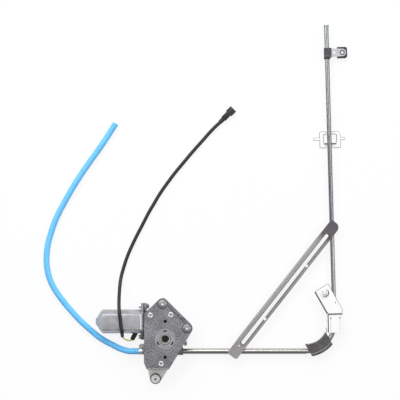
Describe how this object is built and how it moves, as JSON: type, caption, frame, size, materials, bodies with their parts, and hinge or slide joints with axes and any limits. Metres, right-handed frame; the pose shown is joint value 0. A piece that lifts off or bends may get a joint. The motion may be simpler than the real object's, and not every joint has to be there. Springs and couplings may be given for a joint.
{
  "type": "window regulator",
  "caption": "Electric window regulator: worm motor and gear housing push a toothed cable through a bent slotted guide tube that lifts a glass carrier, with brace, brackets, hose and lead.",
  "frame": {"origin": "hub axis in the plane of the front face of the gear housing", "axes": "+X along the lower tube away from the motor, +Y up the slotted rail, +Z out of the front face along the hub axis; the mounting backs lie in the plane z = -40 mm"},
  "size_m": [0.5506, 0.6506, 0.0455],
  "materials": {
    "cast_aluminium": "as cast",
    "ring_alloy": "as cast",
    "zinc_plate": "zinc plated",
    "fixing_steel": "zinc plated",
    "can_steel": "galvanised",
    "tube_steel": "zinc plated",
    "carrier_zinc": "zinc plated",
    "strap_zinc": "bright zinc",
    "plain_steel": "ground",
    "cable_steel": "greased",
    "bush_bronze": "sintered",
    "copper": "bare",
    "ferrite": "matt",
    "lamination": "coated",
    "carbon": "matt",
    "seal_rubber": "matt",
    "damper_rubber": "matt",
    "hose_plastic": "smooth",
    "saddle_plastic": "moulded",
    "black_plastic": "moulded",
    "sleeve_plastic": "smooth",
    "wire_plastic": "smooth",
    "nylon": "moulded",
    "phenolic": "moulded"
  },
  "bodies": {
    "frame": {"gear_housing": "cast_aluminium", "base_plate": "zinc_plate", "housing_rivets": "fixing_steel", "fixing_bushes": "fixing_steel", "bush_seals": "seal_rubber", "lower_bush": "fixing_steel", "lower_grommet": "seal_rubber", "hub_ring": "ring_alloy", "hub_bush": "bush_bronze", "gear_spindle": "plain_steel", "hose_spigot": "fixing_steel", "hose_end": "hose_plastic", "tail_hose": "hose_plastic", "hose_clamp": "strap_zinc", "clamp_screw": "fixing_steel", "motor_can": "can_steel", "rear_bearing": "bush_bronze", "field_magnets": "ferrite", "brush_plate": "phenolic", "carbon_brushes": "carbon", "brush_springs": "plain_steel", "motor_flange": "cast_aluminium", "motor_gasket": "seal_rubber", "motor_screws": "fixing_steel", "front_bearing": "bush_bronze", "worm_bearing": "bush_bronze", "thrust_pad": "nylon", "support_tube": "tube_steel", "guide_rail": "tube_steel", "rack_cable": "cable_steel", "corner_saddle": "saddle_plastic", "brace": "zinc_plate", "mid_bracket": "carrier_zinc", "stop_ring": "seal_rubber", "clip_sleeve": "seal_rubber", "clip_strap": "strap_zinc", "clip_pad": "seal_rubber", "clip_eyelet": "fixing_steel", "lead_boot": "seal_rubber", "lead_wires": "wire_plastic", "lead_sleeve": "sleeve_plastic", "connector_body": "black_plastic", "connector_collar": "seal_rubber", "connector_pins": "copper"},
    "armature": {"motor_shaft": "plain_steel", "worm": "plain_steel", "armature_core": "lamination", "commutator": "copper", "windings": "copper"},
    "gear_hub": {"drive_hub": "plain_steel", "worm_wheel": "nylon", "drive_damper": "damper_rubber", "drive_gear": "plain_steel"},
    "carrier": {"carrier_bracket": "carrier_zinc", "slider": "nylon", "slider_rivets": "fixing_steel", "glass_nut": "fixing_steel"}
  },
  "joints": [
    {"name": "armature_spin", "type": "hinge", "parent": "frame", "child": "armature", "pos_m": [0, 0.0305, -0.019], "axis": [1, 0, 0], "range_deg": [0, 51285]},
    {"name": "drive_gear_spin", "type": "hinge", "parent": "frame", "child": "gear_hub", "pos_m": [0, 0, -0.025], "axis": [0, 0, 1], "range_deg": [0, 1006]},
    {"name": "carrier_slide", "type": "slide", "parent": "frame", "child": "carrier", "axis": [-0.0279, 0.9996, 0], "range_m": [0, 0.43]}
  ],
  "couplings": [
    {"joint": "drive_gear_spin", "follows": "armature_spin", "ratio": 0.019608},
    {"joint": "carrier_slide", "follows": "armature_spin", "m_per_rad": 0.00048039}
  ]
}
